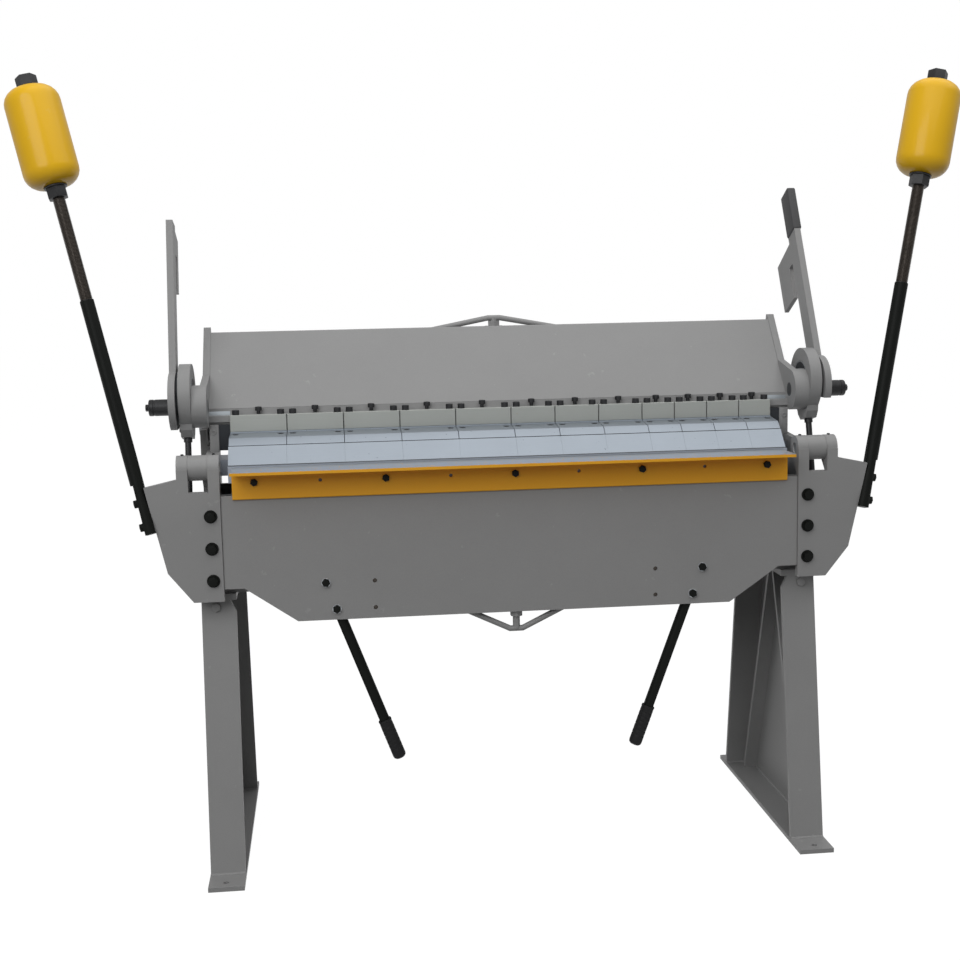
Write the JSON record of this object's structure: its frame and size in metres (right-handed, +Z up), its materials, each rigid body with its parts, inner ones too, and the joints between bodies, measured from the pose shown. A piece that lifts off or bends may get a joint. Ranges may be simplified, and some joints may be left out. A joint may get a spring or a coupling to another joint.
{
  "type": "box and pan sheet metal folder",
  "caption": "Floor-standing sheet metal folder: finger beam with lever-worked eccentrics over a bed, counterweighted folding apron with handles, splayed plate legs.",
  "frame": {"origin": "on the floor, centre of the four floor bolt holes in the two base plates", "axes": "+Z up; +X along the bed and the bending line, from the left lever to the right one; the operator and the folding apron are on the -Y side"},
  "size_m": [2.142, 0.653, 1.7551],
  "materials": {
    "grey_paint": "mid-grey powder coat with a fine texture",
    "yellow_paint": "golden yellow gloss enamel",
    "ground_steel": "ground tool steel",
    "turned_steel": "turned or milled steel, lightly oiled",
    "black_steel": "black-oxided or black-painted steel",
    "black_grip": "matt black moulded sleeve"
  },
  "bodies": {
    "frame": {"base_plate_left": "grey_paint", "base_plate_right": "grey_paint", "leg_front_left": "grey_paint", "leg_front_right": "grey_paint", "leg_rear_left": "grey_paint", "leg_rear_right": "grey_paint", "leg_web_left": "grey_paint", "leg_web_right": "grey_paint", "leg_braces": "grey_paint", "leg_bolts": "grey_paint", "side_frame_left": "grey_paint", "side_frame_right": "grey_paint", "bed_plate": "ground_steel", "bed_beam": "grey_paint"},
    "apron": {"apron_plate": "grey_paint", "apron_bar": "turned_steel", "wear_angle": "yellow_paint", "apron_cleats": "grey_paint", "hinge_arm_left": "grey_paint", "hinge_arm_right": "grey_paint", "hinge_pins": "turned_steel", "arm_bolts": "black_steel", "apron_bolts": "black_steel", "handle_rods": "black_steel", "handle_grips": "black_grip", "apron_truss": "grey_paint", "counterweight_tubes": "black_steel", "threaded_rods": "black_steel", "tube_bolts": "black_steel"},
    "counterweight_left": {"weight_left": "yellow_paint", "weight_nuts_left": "black_steel"},
    "counterweight_right": {"weight_right": "yellow_paint", "weight_nuts_right": "black_steel"},
    "upper_beam": {"fingers_wide": "ground_steel", "fingers_middle": "ground_steel", "fingers_narrow": "ground_steel", "clamp_blocks_wide": "ground_steel", "clamp_blocks_middle": "ground_steel", "clamp_blocks_narrow": "ground_steel", "jack_screws": "black_steel", "finger_bar": "black_steel", "ledge_plate": "grey_paint", "hood": "grey_paint", "end_plate_left": "grey_paint", "end_plate_right": "grey_paint", "pivot_pins": "turned_steel", "beam_truss": "grey_paint"},
    "cam_left": {"cam_shaft_left": "turned_steel", "lever_left": "grey_paint", "lever_cap_left": "black_steel"},
    "cam_right": {"cam_shaft_right": "turned_steel", "lever_right": "grey_paint", "lever_cap_right": "black_steel", "lever_grip": "black_grip"},
    "link_left": {"strap_left": "grey_paint", "link_rod_left": "black_steel"},
    "link_right": {"strap_right": "grey_paint", "link_rod_right": "black_steel"},
    "nut_left": {"clamp_nut_left": "black_steel"},
    "nut_right": {"clamp_nut_right": "black_steel"}
  },
  "joints": [
    {"name": "apron_fold", "type": "hinge", "parent": "frame", "child": "apron", "pos_m": [0, -0.1915, 0.904], "axis": [-1, 0, 0], "range_deg": [0, 135]},
    {"name": "counterweight_slide_left", "type": "slide", "parent": "apron", "child": "counterweight_left", "axis": [-0.2324, 0.185, 0.9549], "range_m": [-0.22, 0]},
    {"name": "counterweight_slide_right", "type": "slide", "parent": "apron", "child": "counterweight_right", "axis": [0.2324, 0.185, 0.9549], "range_m": [-0.22, 0]},
    {"name": "beam_lift", "type": "hinge", "parent": "frame", "child": "upper_beam", "pos_m": [0, 0.1385, 0.96], "axis": [1, 0, 0], "range_deg": [-10.3, 0]},
    {"name": "clamp_lever_left", "type": "hinge", "parent": "upper_beam", "child": "cam_left", "pos_m": [0, -0.062, 1.026], "axis": [-1, 0, 0], "range_deg": [0, 74.15]},
    {"name": "strap_turn_left", "type": "hinge", "parent": "cam_left", "child": "link_left", "pos_m": [0, -0.04045, 1.0454], "axis": [-1, 0, 0], "range_deg": [-80.13, 0]},
    {"name": "clamp_lever_right", "type": "hinge", "parent": "upper_beam", "child": "cam_right", "pos_m": [0, -0.062, 1.026], "axis": [-1, 0, 0], "range_deg": [0, 74.15]},
    {"name": "strap_turn_right", "type": "hinge", "parent": "cam_right", "child": "link_right", "pos_m": [0, -0.04045, 1.0454], "axis": [-1, 0, 0], "range_deg": [-80.13, 0]},
    {"name": "clamp_nut_slide_left", "type": "slide", "parent": "link_left", "child": "nut_left", "axis": [0, -0.2325, -0.9726], "range_m": [0, 0.01]},
    {"name": "clamp_nut_slide_right", "type": "slide", "parent": "link_right", "child": "nut_right", "axis": [0, -0.2325, -0.9726], "range_m": [0, 0.01]}
  ],
  "couplings": [
    {"joint": "clamp_lever_left", "follows": "beam_lift", "ratio": -7.18},
    {"joint": "strap_turn_left", "follows": "beam_lift", "ratio": 7.76},
    {"joint": "clamp_lever_right", "follows": "beam_lift", "ratio": -7.18},
    {"joint": "strap_turn_right", "follows": "beam_lift", "ratio": 7.76}
  ]
}
